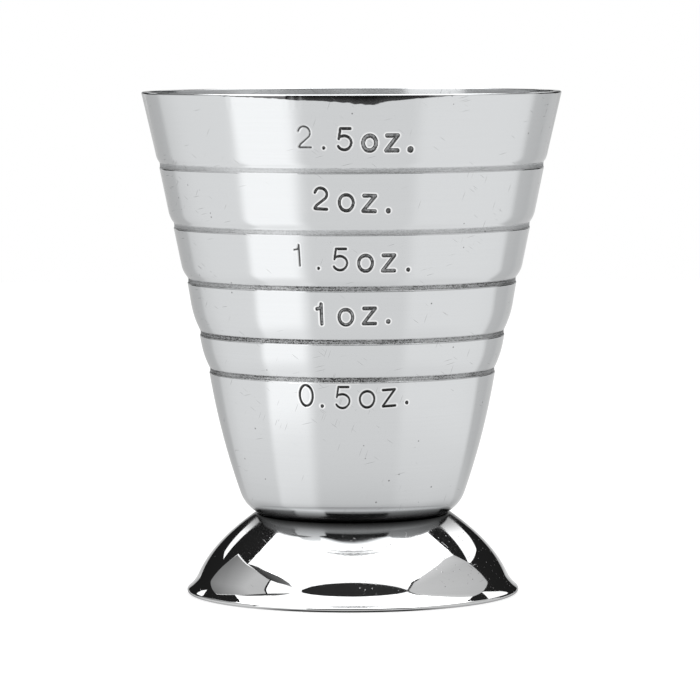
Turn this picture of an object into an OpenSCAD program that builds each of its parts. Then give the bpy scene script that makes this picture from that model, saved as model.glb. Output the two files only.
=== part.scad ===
// Bar measuring cup: a tapered steel cup stepped at each measure, spot-welded to a bell-shaped foot.
// Millimetres, +Z up, origin at the centre of the ring that the foot stands on.

/* [Cup] */
// Outside diameter across the rim
rim_d = 55.9; // [53:0.1:64]
// Thickness of the cup's sheet
cup_wall = 0.7; // [0.4:0.05:1.2]
// Lean of the wall from upright at the rim, in degrees
rim_lean = 13; // [4:0.5:22]
// Lean of the wall from upright where it turns into the bottom corner, in degrees
corner_lean = 19.5; // [12:0.5:40]
// Inside bend radius of the corner between the wall and the flat bottom
corner_bend_r = 3.9; // [2:0.1:6]
// Diameter of the flat bottom that sits on the foot
cup_flat_d = 21.3; // [16:0.1:25]

/* [Measure lines] */
// Rise from the outside of the cup's bottom to the half ounce line
rise_to_half_oz = 19.6; // [16:0.1:26]
// Rise from the half ounce line to the three-quarter ounce line
rise_to_three_quarter_oz = 5; // [3:0.1:8]
// Rise from the three-quarter ounce line to the one ounce line
rise_to_one_oz = 7; // [4:0.1:10]
// Rise from the one ounce line to the one and a half ounce line
rise_to_one_half_oz = 7.3; // [4:0.1:11]
// Rise from the one and a half ounce line to the two ounce line
rise_to_two_oz = 8; // [4:0.1:12]
// Rise from the two ounce line to the rim
rise_to_rim = 9.8; // [5:0.1:15]
// Outside diameter of the cup at the half ounce line
half_oz_d = 38.2; // [34:0.1:42]
// Outside diameter of the cup at the three-quarter ounce line
three_quarter_oz_d = 40.7; // [37:0.1:45]
// Outside diameter of the cup at the one ounce line
one_oz_d = 43.9; // [40:0.1:48]
// Outside diameter of the cup at the one and a half ounce line
one_half_oz_d = 47.5; // [44:0.1:52]
// Outside diameter of the cup at the two ounce line
two_oz_d = 51.2; // [48:0.1:56]
// Lean of the wall from upright just above the half and three-quarter ounce lines, in degrees
low_turn_lean = 27; // [16:0.5:34]
// Lean of the wall from upright just above the one ounce line and the lines over it, in degrees
high_turn_lean = 39; // [20:0.5:45]
// Height in which the wall above the half and three-quarter ounce lines turns straight
low_turn_h = 3.6; // [2:0.1:5]
// Height in which the wall above the one ounce line and the lines over it turns straight
high_turn_h = 1.6; // [1:0.1:3]
// Lean of the straight wall up to the half, three-quarter and one ounce lines, in degrees
low_wall_lean = 9.5; // [2:0.5:14]
// Lean of the straight wall up to the one and a half and two ounce lines, in degrees
high_wall_lean = 11.5; // [4:0.5:15]
// Width of the groove rolled in at each line
groove_w = 0.8; // [0.5:0.05:1.4]
// Depth of each groove
groove_depth = 0.1; // [0.05:0.05:0.3]
// Width of each sloping side of a groove
groove_side = 0.2; // [0.1:0.05:0.25]

/* [Foot] */
// Diameter across the lip that the foot stands on
foot_d = 44.4; // [40:0.1:56]
// Height of the flat seat that carries the cup
seat_h = 10.3; // [8:0.1:16]
// Thickness of the foot's sheet
foot_wall = 0.7; // [0.4:0.05:1.2]
// How far round the cup's bottom corner the foot's shoulder reaches, in degrees
shoulder_turn = 22.5; // [16:0.5:32]
// Clearance between the cup's bottom corner and the shoulder
shoulder_gap = 0.05; // [0.02:0.01:0.1]
// Inside bend radius of the shoulder
shoulder_bend_r = 0.1; // [0.05:0.05:0.6]
// Lean of the bell from upright just below the shoulder, in degrees
bell_top_lean = 55; // [40:1:65]
// Lean of the bell from upright where the flare starts, in degrees
bell_low_lean = 24; // [10:1:35]
// Radius of the hollow flare above the lip
flare_r = 4.9; // [2:0.1:6]
// Lean of the lip from upright at its edge, in degrees
lip_lean = 51; // [42:1:70]
// Width of the flat ring ground under the lip
rest_w = 0.65; // [0.3:0.05:1.2]

/* [Spot welds] */
// Number of spot welds between the cup and the foot
weld_count = 3; // [3:1:5]
// Diameter of one weld nugget
weld_d = 3; // [2:0.1:4]
// Diameter of the circle that the welds lie on
weld_circle_d = 11; // [8:0.1:12]

/* [Hidden] */
$fn = 128;
// Steps along each wall curve, and degrees per step on round edges
curve_steps = 10;
arc_step = 7.5;

// Heights of the lines above the table, from the bottom up, and the outside radius at each
half_oz_h = seat_h + rise_to_half_oz;
three_quarter_oz_h = half_oz_h + rise_to_three_quarter_oz;
one_oz_h = three_quarter_oz_h + rise_to_one_oz;
one_half_oz_h = one_oz_h + rise_to_one_half_oz;
two_oz_h = one_half_oz_h + rise_to_two_oz;
rim_h = two_oz_h + rise_to_rim;
lines = [
    [half_oz_d / 2, half_oz_h],
    [three_quarter_oz_d / 2, three_quarter_oz_h],
    [one_oz_d / 2, one_oz_h],
    [one_half_oz_d / 2, one_half_oz_h],
    [two_oz_d / 2, two_oz_h],
];

// Points of a round edge about a centre, between two angles from the +R direction
function arc(centre, radius, from, to) =
    let (steps = ceil(abs(to - from) / arc_step))
    [for (i = [0:steps])
        let (a = from + (to - from) * i / steps)
        centre + radius * [cos(a), sin(a)]];

// Radius on the smooth wall curve that leaves p and reaches q with the given changes of radius with height
function curve_r(p, q, slope_p, slope_q, t) =
    let (rise = q.y - p.y)
    p.x * (2 * t ^ 3 - 3 * t ^ 2 + 1) + q.x * (3 * t ^ 2 - 2 * t ^ 3)
    + rise * (slope_p * (t ^ 3 - 2 * t ^ 2 + t) + slope_q * (t ^ 3 - t ^ 2));

// Change of radius with height on the same curve
function curve_slope(p, q, slope_p, slope_q, t) =
    6 * (t - t ^ 2) * (q.x - p.x) / (q.y - p.y)
    + slope_p * (3 * t ^ 2 - 4 * t + 1) + slope_q * (3 * t ^ 2 - 2 * t);

// Points of the wall curve, set in from its outside by a depth square to the wall
function wall(p, q, slope_p, slope_q, depth = 0) =
    [for (i = [0:curve_steps])
        let (t = i / curve_steps, slope = curve_slope(p, q, slope_p, slope_q, t))
        [curve_r(p, q, slope_p, slope_q, t), p.y + (q.y - p.y) * t]
        - depth * [1, -slope] / norm([1, slope])];

// A curve's points after the first one, which the piece of outline before it already has
function rest_of(points) = [for (i = [1:len(points) - 1]) points[i]];

function reversed(points) = [for (i = [len(points) - 1:-1:0]) points[i]];

// The cup's bottom corner, and where its wall starts
corner_r = corner_bend_r + cup_wall;
corner_centre = [cup_flat_d / 2, seat_h + corner_r];
corner_end = corner_centre + corner_r * [cos(corner_lean), -sin(corner_lean)];
// The rounded edge of the rim, and where its wall ends
rim_edge_r = cup_wall / 2;
rim_centre = [rim_d / 2 - rim_edge_r, rim_h - rim_edge_r];
rim_end = rim_centre + rim_edge_r * [cos(rim_lean), -sin(rim_lean)];

// The bands of wall between the lines: lower end, upper end, and the change of radius with height at each
groove_half = [0, groove_w / 2];
band_starts = concat([corner_end], [for (p = lines) p + groove_half]);
band_ends = concat([for (p = lines) p - groove_half], [rim_end]);
last_band = len(lines);
first_high_band = 3;
function is_high(i) = i >= first_high_band;
function turn_slope(i) = tan(i == 0 ? corner_lean : is_high(i) ? high_turn_lean : low_turn_lean);
function wall_slope(i) = tan(i == last_band ? rim_lean : is_high(i) ? high_wall_lean : low_wall_lean);
// A band turns from its lower end into the straight wall below its upper end; the lowest turns all the way
longest_turn = 0.9;
function straight_rise(i) =
    let (rise = band_ends[i].y - band_starts[i].y)
    i == 0 ? 0 : rise - min(is_high(i) ? high_turn_h : low_turn_h, longest_turn * rise);
function turn_end(i) = band_ends[i] - straight_rise(i) * [wall_slope(i), 1];
function band_end(i, depth) = band_ends[i] - depth * [1, -wall_slope(i)] / norm([1, wall_slope(i)]);
function band(i, depth = 0) = concat(
    wall(band_starts[i], turn_end(i), turn_slope(i), wall_slope(i), depth),
    i == 0 ? [] : [band_end(i, depth)]
);

// The groove's floor, between the two bands that it parts
function groove(p) = [
    p + [-groove_depth, groove_side - groove_w / 2],
    p + [-groove_depth, groove_w / 2 - groove_side],
];

cup_outside = concat(
    [[0, seat_h]],
    arc(corner_centre, corner_r, -90, -corner_lean),
    rest_of(band(0)),
    [for (i = [1:last_band]) each concat(groove(lines[i - 1]), band(i))]
);
cup_inside = concat(
    [[0, seat_h + cup_wall]],
    arc(corner_centre, corner_bend_r, -90, -corner_lean),
    rest_of(band(0, cup_wall)),
    [for (i = [1:last_band]) each band(i, cup_wall)]
);

// The foot's shoulder, which cradles the cup's corner, and where its bell starts
shoulder_r = shoulder_bend_r + foot_wall;
cradle = [sin(shoulder_turn), -cos(shoulder_turn)];
shoulder_centre = corner_centre + (corner_r + shoulder_gap + shoulder_r) * cradle;
bell_start = shoulder_centre + shoulder_r * [cos(bell_top_lean), sin(bell_top_lean)];
// Where the slope inside the shoulder comes down to a height, for the shoulder's outside or inside radius
function seat_edge(radius, height) =
    let (top = shoulder_centre - radius * cradle)
    [top.x - (top.y - height) / tan(shoulder_turn), height];
function shoulder(radius) = arc(shoulder_centre, radius, 90 + shoulder_turn, bell_top_lean);
// The rounded edge of the lip, the flare that rises from it, and where the bell ends
lip_edge_r = foot_wall / 2;
lip_centre = [foot_d / 2 - lip_edge_r, lip_edge_r];
lip_top = lip_centre + lip_edge_r * [cos(lip_lean), sin(lip_lean)];
flare_centre = lip_top + flare_r * [cos(lip_lean), sin(lip_lean)];
bell_end = flare_centre - flare_r * [cos(bell_low_lean), sin(bell_low_lean)];
function bell(depth = 0) = wall(bell_start, bell_end, -tan(bell_top_lean), -tan(bell_low_lean), depth);
function flare(radius, to) = arc(flare_centre, radius, 180 + bell_low_lean, to);
// The inside of the flare stops where it meets the upright inner edge of the ground ring
rest_r = lip_centre.x - rest_w;
flare_in_r = flare_r + foot_wall;
flare_stop = 180 + acos((flare_centre.x - rest_r) / flare_in_r);

foot_outside = concat(
    [[0, seat_h], seat_edge(shoulder_r, seat_h)],
    shoulder(shoulder_r),
    rest_of(bell()),
    rest_of(flare(flare_r, 180 + lip_lean)),
    rest_of(arc(lip_centre, lip_edge_r, lip_lean, -90))
);
foot_inside = concat(
    [[0, seat_h - foot_wall], seat_edge(shoulder_bend_r, seat_h - foot_wall)],
    shoulder(shoulder_bend_r),
    rest_of(bell(foot_wall)),
    rest_of(flare(flare_in_r, flare_stop)),
    [[rest_r, 0]]
);

module weld_nuggets() {
    for (i = [0:weld_count - 1])
        rotate(90 + i * 360 / weld_count)
            translate([weld_circle_d / 2, 0, seat_h - foot_wall / 2])
                cylinder(d = weld_d, h = (foot_wall + cup_wall) / 2);
}

module cup() {
    color([0.78, 0.79, 0.79])
        difference() {
            rotate_extrude()
                polygon(concat(
                    cup_outside,
                    rest_of(arc(rim_centre, rim_edge_r, -rim_lean, 180 - rim_lean)),
                    rest_of(reversed(cup_inside))
                ));
            weld_nuggets();
        }
}

module foot() {
    color([0.86, 0.87, 0.88])
        difference() {
            rotate_extrude()
                polygon(concat(foot_outside, reversed(foot_inside)));
            weld_nuggets();
        }
}

module spot_welds() {
    color([0.55, 0.53, 0.5])
        weld_nuggets();
}

cup();
foot();
spot_welds();
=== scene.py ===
"""Bar measuring cup: a stepped steel cup on a mirror-polished bell foot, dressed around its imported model."""

import math

import bpy
from bpy.props import FloatProperty, FloatVectorProperty, IntProperty, PointerProperty
from mathutils import Matrix, Vector, noise


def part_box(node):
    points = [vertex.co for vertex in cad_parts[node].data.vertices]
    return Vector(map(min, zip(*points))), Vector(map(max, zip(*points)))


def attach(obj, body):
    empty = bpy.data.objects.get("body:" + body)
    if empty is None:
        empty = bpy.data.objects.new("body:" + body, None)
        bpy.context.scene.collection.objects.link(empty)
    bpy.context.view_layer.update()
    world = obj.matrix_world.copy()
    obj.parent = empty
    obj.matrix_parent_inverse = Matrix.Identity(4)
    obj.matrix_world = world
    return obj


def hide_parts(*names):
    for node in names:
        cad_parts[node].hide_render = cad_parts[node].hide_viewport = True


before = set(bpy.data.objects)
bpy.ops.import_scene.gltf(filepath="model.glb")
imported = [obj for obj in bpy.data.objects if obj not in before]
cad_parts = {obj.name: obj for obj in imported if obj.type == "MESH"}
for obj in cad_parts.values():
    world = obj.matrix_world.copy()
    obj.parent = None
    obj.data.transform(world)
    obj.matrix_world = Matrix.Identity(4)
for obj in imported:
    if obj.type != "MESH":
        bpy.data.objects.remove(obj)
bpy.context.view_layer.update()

bl_info = {
    "name": "Bar measuring cup",
    "version": (1, 0, 0),
    "blender": (4, 5, 0),
    "location": "3D View > Sidebar > Bar measure",
    "description": "Models a stepped steel measuring cup on a bell-shaped foot, with its stamped marks",
    "category": "Object",
}

MM = 0.001
MICRON = 0.000001

# The pieces are made this much narrower than their packed boxes
HAIR = 4 * MICRON
BOTTOM_OF_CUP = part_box("cup")[0].z
TOP_OF_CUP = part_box("cup")[1].z
WIDTH_OF_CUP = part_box("cup")[1].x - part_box("cup")[0].x - HAIR
WIDTH_OF_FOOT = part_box("foot")[1].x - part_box("foot")[0].x - HAIR

# Outer height of the characters, and outer width as a share of the height
DIGIT_HEIGHT = 3.12 * MM
LETTER_HEIGHT = 2.52 * MM
CHARACTER_WIDTHS = {"0": 0.69, "1": 0.4, "2": 0.65, "5": 0.705, "o": 0.895, "z": 0.84, ".": 0.0}

# Each strike of a punch: character, place along the arc and height of its foot in millimetres,
# width of the stroke in millimetres, how deep it went as a share of the full depth, and tilt in degrees
STRIKES = (
    ("2", -6.05, 60.05, 0.44, 0.17, 0),
    (".", -3.55, 60.2, 0.52, 0.75, 0),
    ("5", -0.9, 59.77, 0.4, 0.8, 0),
    ("o", 2.3, 59.55, 0.6, 1.0, 0),
    ("z", 5.2, 59.55, 0.6, 1.0, 0),
    (".", 7.6, 59.95, 0.94, 1.0, 0),
    ("2", -3.95, 52.15, 0.42, 0.8, -3),
    ("o", -0.7, 51.9, 0.46, 0.85, 0),
    ("z", 2.25, 51.8, 0.54, 1.0, -2),
    (".", 4.7, 52.1, 0.76, 0.95, 0),
    ("1", -7.05, 44.75, 0.4, 0.2, 0),
    (".", -4.3, 44.65, 0.48, 0.75, 0),
    ("5", -1.5, 44.25, 0.36, 0.75, 0),
    ("o", 1.75, 44.05, 0.48, 0.9, 0),
    ("z", 4.75, 44.05, 0.52, 1.0, 0),
    (".", 7.35, 44.4, 0.62, 0.85, 0),
    ("1", -4.15, 37.1, 0.5, 1.0, 0),
    ("o", -0.8, 37.0, 0.5, 0.95, 0),
    ("z", 2.25, 37.15, 0.52, 0.95, 0),
    (".", 4.7, 37.65, 0.7, 0.95, 0),
    ("0", -6.09, 26.3, 0.38, 0.62, -2),
    (".", -3.92, 26.5, 0.54, 0.8, 0),
    ("5", -1.26, 26.1, 0.34, 0.6, 0),
    ("o", 1.92, 26.15, 0.37, 0.62, 0),
    ("z", 4.8, 26.3, 0.37, 0.62, 3),
    (".", 7.25, 26.85, 0.56, 0.8, 0),
)


def length(name, description, default):
    """A size in metres that the sidebar shows in the scene's own unit."""
    return FloatProperty(name=name, description=description, default=default, unit="LENGTH", precision=5)


def angle(name, description, default):
    """An angle, written in degrees here and kept in radians."""
    return FloatProperty(name=name, description=description, default=math.radians(default), subtype="ANGLE")


def share(name, description, default):
    """A number between nothing and all of something."""
    return FloatProperty(name=name, description=description, default=default, min=0, max=1, subtype="FACTOR")


def colour(name, description, default):
    """A colour that metal reflects."""
    return FloatVectorProperty(name=name, description=description, default=default, size=3, min=0, max=1,
                               subtype="COLOR")


class CupSizes(bpy.types.PropertyGroup):
    """Sizes of the drawn cup."""
    rim_d: length("Rim diameter", "Outside diameter across the rim", WIDTH_OF_CUP)
    rim_h: length("Rim height", "Height of the rim above the table", TOP_OF_CUP)
    bottom_h: length("Bottom height", "Height of the outside of the cup's flat bottom", BOTTOM_OF_CUP)
    wall: length("Wall", "Thickness of the cup's sheet", 0.7 * MM)
    flat_d: length("Flat bottom", "Diameter of the flat bottom that sits on the foot", 21.3 * MM)
    corner_r: length("Corner radius", "Outside radius of the corner at the bottom", 4.6 * MM)
    corner_lean: angle("Corner lean", "Lean of the wall where it leaves the corner", 19.5)
    low_turn_lean: angle("Low turn lean", "Lean just above the half and three-quarter ounce lines", 27)
    high_turn_lean: angle("High turn lean", "Lean just above the one ounce line and the lines over it", 39)
    low_turn_h: length("Low turn height", "Height in which the wall over a low line straightens", 3.6 * MM)
    high_turn_h: length("High turn height", "Height in which the wall over a high line straightens", 1.6 * MM)
    low_wall_lean: angle("Low wall lean", "Lean of the wall under the lines up to one ounce", 9.5)
    high_wall_lean: angle("High wall lean", "Lean of the wall under the lines over one ounce", 11.5)
    rim_lean: angle("Rim lean", "Lean of the wall at the rim", 13)
    rim_w: length("Rim width", "Width of the rim, seen from above", 0.85 * MM)
    rim_outer_r: length("Rim outer radius", "Radius of the rim's outer edge", 0.2 * MM)
    rim_edge_r: length("Rim inner radius", "Radius of the rim's inner edge", 0.14 * MM)
    rim_turn: length("Rim turn", "Height in which the inside of the rim turns upright", 2.6 * MM)
    rim_land: length("Rim land", "Height of the upright land inside the rim", 1.1 * MM)
    rim_inner_lean: angle("Rim inner lean", "Lean of the inside at the rim", 1.5)
    facet_h: length("Facet height", "Greatest height of the facet ground along the rim", 1.4 * MM)
    facet_lean: angle("Facet lean", "Inward lean of the ground facet", 5.8)
    groove_w: length("Groove width", "Width of the groove rolled in at each line", 0.8 * MM)
    groove_depth: length("Groove depth", "Depth of each groove", 0.1 * MM)
    stamp_depth: length("Stamp depth", "Full depth of a stamped character", 0.2 * MM)
    stamp_flank: length("Stamp flank", "Width of the sloping side of a stamped stroke", 0.12 * MM)
    stamp_burr: length("Stamp burr", "Height of the metal raised beside a stamped stroke", 0.02 * MM)
    segments: IntProperty(name="Segments", description="Faces around the cup", default=192, min=48, max=360)


class FootSizes(bpy.types.PropertyGroup):
    """Sizes of the pressed foot."""
    lip_d: length("Lip diameter", "Diameter across the lip that the foot stands on", WIDTH_OF_FOOT)
    seat_h: length("Seat height", "Height of the flat seat that carries the cup", BOTTOM_OF_CUP)
    wall: length("Wall", "Thickness of the foot's sheet", 0.7 * MM)
    shoulder_turn: angle("Shoulder turn", "How far round the cup's corner the shoulder reaches", 22.5)
    shoulder_gap: length("Shoulder gap", "Clearance between the cup's corner and the shoulder", 0.05 * MM)
    shoulder_bend_r: length("Shoulder radius", "Inside bend radius of the shoulder", 0.1 * MM)
    bell_top_lean: angle("Bell top lean", "Lean of the bell below the shoulder", 55)
    bell_low_lean: angle("Bell low lean", "Lean of the bell where the flare starts", 24)
    flare_r: length("Flare radius", "Radius of the hollow flare above the lip", 4.9 * MM)
    lip_lean: angle("Lip lean", "Lean of the lip at its edge", 51)
    rest_w: length("Rest width", "Width of the flat ring ground under the lip", 0.65 * MM)
    segments: IntProperty(name="Segments", description="Faces around the foot", default=256, min=48, max=360)


class SteelFinish(bpy.types.PropertyGroup):
    """Colours and polish of the steel."""
    satin: colour("Satin steel", "Reflected colour of the satin-polished cup", (0.609, 0.621, 0.63))
    mirror: colour("Mirror steel", "Reflected colour of the mirror-polished foot", (0.74, 0.745, 0.75))
    # Colour of the painted highlight under each groove and on the burr beside each stamped stroke
    painted_highlight: colour("Burnished edge", "Reflected colour of edges that use has polished", (0.95, 0.95, 0.95))
    weld: colour("Weld metal", "Reflected colour of the spot welds", (0.5, 0.48, 0.46))
    # Dark colour of the painted shade in stamped strokes, in the grooves and round the joint of the cup and the
    # foot
    residue: colour("Residue", "Dark residue held in stamped strokes and grooves", (0.022, 0.0215, 0.021))
    satin_roughness: share("Satin roughness", "Roughness of the cup's polish", 0.1)
    inside_roughness: share("Inside roughness", "Roughness of the cup's inside", 0.16)
    mirror_roughness: share("Mirror roughness", "Roughness of the foot's polish", 0.035)


class StudioSetup(bpy.types.PropertyGroup):
    """The plain studio around the object."""
    camera_distance: length("Camera distance", "Distance of the camera from the cup's axis", 580.53 * MM)
    camera_height: length("Camera height", "Height of the camera above the table", 76.43 * MM)
    camera_side: length("Camera side", "Place of the camera to the right of the cup's axis", -0.16 * MM)
    camera_pitch: angle("Camera pitch", "How far the camera looks down", 4.337)
    camera_roll: angle("Camera roll", "How far the camera leans to one side", 0.17)
    camera_lens: FloatProperty(name="Lens", description="Focal length on a sensor 36 mm wide", default=223.82,
                               unit="CAMERA")
    softbox_h: length("Softbox height", "Height of the overhead softbox", 900 * MM)
    softbox_glow: FloatProperty(name="Softbox glow", description="Brightness of the softbox seen in a mirror",
                                default=1.6, min=0)
    room_fill: share("Room fill", "Light that the white room throws back on the table", 0.4)
    floor_glow: share("Floor glow", "Own brightness of the pale table in the picture", 0.66)
    surround_glow: FloatProperty(name="Surround glow", description="Brightness of the surround in a mirror",
                                 default=1.6, min=0)


# Outlines

class WallCurve:
    """A smooth stretch of wall between two outline points, with a lean from upright at each end."""

    def __init__(self, low, high, low_lean, high_lean):
        self.low = low
        self.high = high
        self.rise = high.y - low.y
        self.low_slope = math.tan(low_lean)
        self.high_slope = math.tan(high_lean)

    def radius(self, height):
        t = (height - self.low.y) / self.rise
        ends = self.low.x * (2 * t**3 - 3 * t**2 + 1) + self.high.x * (3 * t**2 - 2 * t**3)
        leans = self.low_slope * (t**3 - 2 * t**2 + t) + self.high_slope * (t**3 - t**2)
        return ends + self.rise * leans

    def slope(self, height):
        t = (height - self.low.y) / self.rise
        ends = 6 * (t - t**2) * (self.high.x - self.low.x) / self.rise
        return ends + self.low_slope * (3 * t**2 - 4 * t + 1) + self.high_slope * (3 * t**2 - 2 * t)

    def points(self, spacing, depth=0):
        """Outline points from the low end to the high one, set in by a depth square to the wall."""
        steps = max(2, round(abs(self.rise) / spacing))
        heights = [self.low.y + self.rise * i / steps for i in range(steps + 1)]
        return [self.set_in(height, depth) for height in heights]

    def set_in(self, height, depth):
        slope = self.slope(height)
        inward = Vector((-1, slope)).normalized()
        return Vector((self.radius(height), height)) + depth * inward


def polar(radius, turn):
    """A point of the outline, at a distance and an angle up from the outward direction."""
    return Vector((radius * math.cos(turn), radius * math.sin(turn)))


def arc_points(centre, radius, start, end, step=math.radians(6)):
    """Outline points along a round edge, between two angles from the outward direction."""
    steps = max(2, math.ceil(abs(end - start) / step))
    return [centre + polar(radius, start + (end - start) * i / steps) for i in range(steps + 1)]


def flat_points(start, end, steps):
    """Outline points along a straight line."""
    return [start.lerp(end, i / steps) for i in range(steps + 1)]


def without_repeats(points):
    """The outline with each point that repeats the one before it left out."""
    kept = points[:1]
    for point in points[1:]:
        if (point - kept[-1]).length > MICRON:
            kept.append(point)
    return kept


def smooth_step(value):
    """A soft change from 0 to 1 while a value goes from 0 to 1."""
    value = min(1, max(0, value))
    return value * value * (3 - 2 * value)


# Rings across the flat bottom of the cup and the foot's seat
FLAT_RINGS = 3


class CupOutline:
    """The cup's wall: bands that lean out between rolled grooves, from the flat bottom to the rim."""
    # Outside diameter and height of each measure line in millimetres, how much painted shade its groove gets,
    # and how deep it is
    LINES = ((38.2, 29.9, 0.58, 1), (40.7, 34.9, 0.58, 1), (43.9, 41.9, 0.54, 1),
             (47.5, 49.2, 0.24, 0.6), (51.2, 57.2, 0.18, 0.5))
    FIRST_HIGH_BAND = 3
    # Spacing of the rows up the wall, and steps round the corner and the edge
    WALL_ROW = 0.62 * MM
    TURN_ROW = 0.28 * MM
    RIM_ROW = 0.16 * MM
    RIM_TURN_ROW = 0.3 * MM
    INSIDE_ROW = 2 * MM
    CORNER_STEP = math.radians(4)
    EDGE_STEP = math.radians(15)
    # Height of the fine rows under the rim, in heights of the facet
    FINE_ROWS = 1.5
    # Rows of a groove: places as shares of its half width, then shares of its depth and of its painted shade,
    # which is darkest in its corners
    GROOVE_ROWS = ((-1, 0, 0), (-0.8, 0.22, 0.1), (-0.62, 0.7, 0.8), (-0.5, 1, 1.45), (-0.28, 1, 0.95),
                   (0.3, 1, 0.95), (0.5, 1, 1.45), (0.72, 0.55, 1.1), (1, 0, 0))
    # Height of the painted highlight along the edge under a groove, and share of that highlight painted over
    # the groove
    BURNISHED = 0.13 * MM
    BURNISH_OVER = 0.5

    def __init__(self, sizes):
        self.sizes = sizes
        self.lines = [Vector((across * MM / 2, height * MM)) for across, height, *_ in self.LINES]
        half_groove = Vector((0, sizes.groove_w / 2))
        self.corner_centre = Vector((sizes.flat_d / 2, sizes.bottom_h + sizes.corner_r))
        corner_end = self.corner_centre + polar(sizes.corner_r, -sizes.corner_lean)
        self.edge_centre = Vector((sizes.rim_d / 2, sizes.rim_h)) - sizes.rim_outer_r * Vector((1, 1))
        rim_end = self.edge_centre + polar(sizes.rim_outer_r, -sizes.rim_lean)
        lows = [corner_end] + [line + half_groove for line in self.lines]
        highs = [line - half_groove for line in self.lines] + [rim_end]
        self.bands = [self.band(i, low, high) for i, (low, high) in enumerate(zip(lows, highs))]

    def band(self, index, low, high):
        """The curves of one band: the turn above its line, and the straight wall over that."""
        sizes = self.sizes
        is_high = index >= self.FIRST_HIGH_BAND
        turn_lean = sizes.high_turn_lean if is_high else sizes.low_turn_lean
        wall_lean = sizes.high_wall_lean if is_high else sizes.low_wall_lean
        if index == 0:
            return [WallCurve(low, high, sizes.corner_lean, wall_lean)]
        if index == len(self.lines):
            wall_lean = sizes.rim_lean
        straight = high.y - low.y - (sizes.high_turn_h if is_high else sizes.low_turn_h)
        middle = high - straight * Vector((math.tan(wall_lean), 1))
        return [WallCurve(low, middle, turn_lean, wall_lean), WallCurve(middle, high, wall_lean, wall_lean)]

    def groove_at(self, height):
        """The line, depth and painted shade of the groove at a height, or None on a band."""
        for line, (*_, dark, deep) in zip(self.lines, self.LINES):
            place = 2 * (height - line.y) / self.sizes.groove_w
            for (start, *low), (end, *high) in zip(self.GROOVE_ROWS, self.GROOVE_ROWS[1:]):
                if start <= place <= end:
                    depth, darkness = Vector(low).lerp(Vector(high), (place - start) / (end - start))
                    return line, depth * deep * self.sizes.groove_depth, min(1, darkness * dark)
        return None

    def outside_radius(self, height):
        groove = self.groove_at(height)
        if groove:
            line, depth, _ = groove
            return line.x - depth
        curves = [curve for band in self.bands for curve in band]
        return next((curve for curve in curves if height <= curve.high.y), curves[-1]).radius(height)

    def groove_darkness(self, height):
        """How much painted shade the wall gets at a height, from 0 on a band to 1 in the corners of a groove.
        """
        groove = self.groove_at(height)
        return groove[2] if groove else 0

    def groove_points(self, line):
        rows = [line.y + self.sizes.groove_w / 2 * place for place, *_ in self.GROOVE_ROWS]
        return [Vector((self.outside_radius(height), height)) for height in rows]

    def wall_up_to_groove(self, wall):
        """Points up a wall, with a row where the painted highlight along the edge under the groove starts."""
        *rows, last = wall.points(self.WALL_ROW)
        return rows + [wall.set_in(last.y - self.BURNISHED, 0), last]

    def painted_highlight(self, height):
        """How strong the painted highlight is on the wall at a height: most along the lower edge of each
        groove.
        """
        half = self.sizes.groove_w / 2
        for line in self.lines:
            under = line.y - half - height
            over = height - line.y - half
            if 0 <= under <= self.BURNISHED:
                return 1 - under / self.BURNISHED
            if 0 <= over <= self.TURN_ROW:
                return self.BURNISH_OVER * (1 - over / self.TURN_ROW)
        return 0

    def outside(self):
        """Points up the outside, from the middle of the bottom to the rim's outer edge."""
        sizes = self.sizes
        bottom = Vector((0, sizes.bottom_h))
        points = flat_points(bottom, bottom + Vector((sizes.flat_d / 2, 0)), FLAT_RINGS)
        points += arc_points(self.corner_centre, sizes.corner_r, -math.pi / 2, -sizes.corner_lean,
                             self.CORNER_STEP)
        points += self.wall_up_to_groove(self.bands[0][0])
        for line, (turn, wall) in zip(self.lines, self.bands[1:]):
            points += self.groove_points(line) + turn.points(self.TURN_ROW)
            if wall is not self.bands[-1][-1]:
                points += self.wall_up_to_groove(wall)
        rim_wall = self.bands[-1][-1]
        facet_start = rim_wall.high - self.FINE_ROWS * sizes.facet_h * Vector((rim_wall.high_slope, 1))
        lower = WallCurve(rim_wall.low, facet_start, sizes.rim_lean, sizes.rim_lean)
        upper = WallCurve(facet_start, rim_wall.high, sizes.rim_lean, sizes.rim_lean)
        return points + lower.points(self.WALL_ROW) + upper.points(self.RIM_ROW)

    def inside(self):
        """Points up the inside, from the middle of the floor to the rim's inner edge."""
        sizes = self.sizes
        floor = Vector((0, sizes.bottom_h + sizes.wall))
        points = flat_points(floor, floor + Vector((sizes.flat_d / 2, 0)), FLAT_RINGS)
        corner_r = sizes.corner_r - sizes.wall
        points += arc_points(self.corner_centre, corner_r, -math.pi / 2, -sizes.corner_lean)
        for band in self.bands[:-1]:
            for curve in band:
                points += curve.points(self.INSIDE_ROW, sizes.wall)
        turn, wall = self.bands[-1]
        points += turn.points(self.INSIDE_ROW, sizes.wall)
        edge_r, lean = sizes.rim_edge_r, sizes.rim_inner_lean
        inner_edge = Vector((sizes.rim_d / 2 - sizes.rim_w + edge_r, sizes.rim_h - edge_r))
        rim_start = wall.set_in(wall.high.y - sizes.rim_turn, sizes.wall)
        rim_end = inner_edge + polar(edge_r, math.pi - lean)
        land_start = rim_end - sizes.rim_land * Vector((math.tan(lean), 1))
        points += WallCurve(rim_start, land_start, sizes.rim_lean, lean).points(self.RIM_TURN_ROW)
        points += WallCurve(land_start, rim_end, lean, lean).points(self.RIM_ROW)
        return points + arc_points(inner_edge, edge_r, math.pi - lean, math.pi / 2)

    def points(self):
        """The whole outline: up the outside from the bottom, over the rim and down the inside."""
        sizes = self.sizes
        edge = arc_points(self.edge_centre, sizes.rim_outer_r, -sizes.rim_lean, math.pi / 2, self.EDGE_STEP)
        return without_repeats(self.outside() + edge + self.inside()[::-1])


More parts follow.
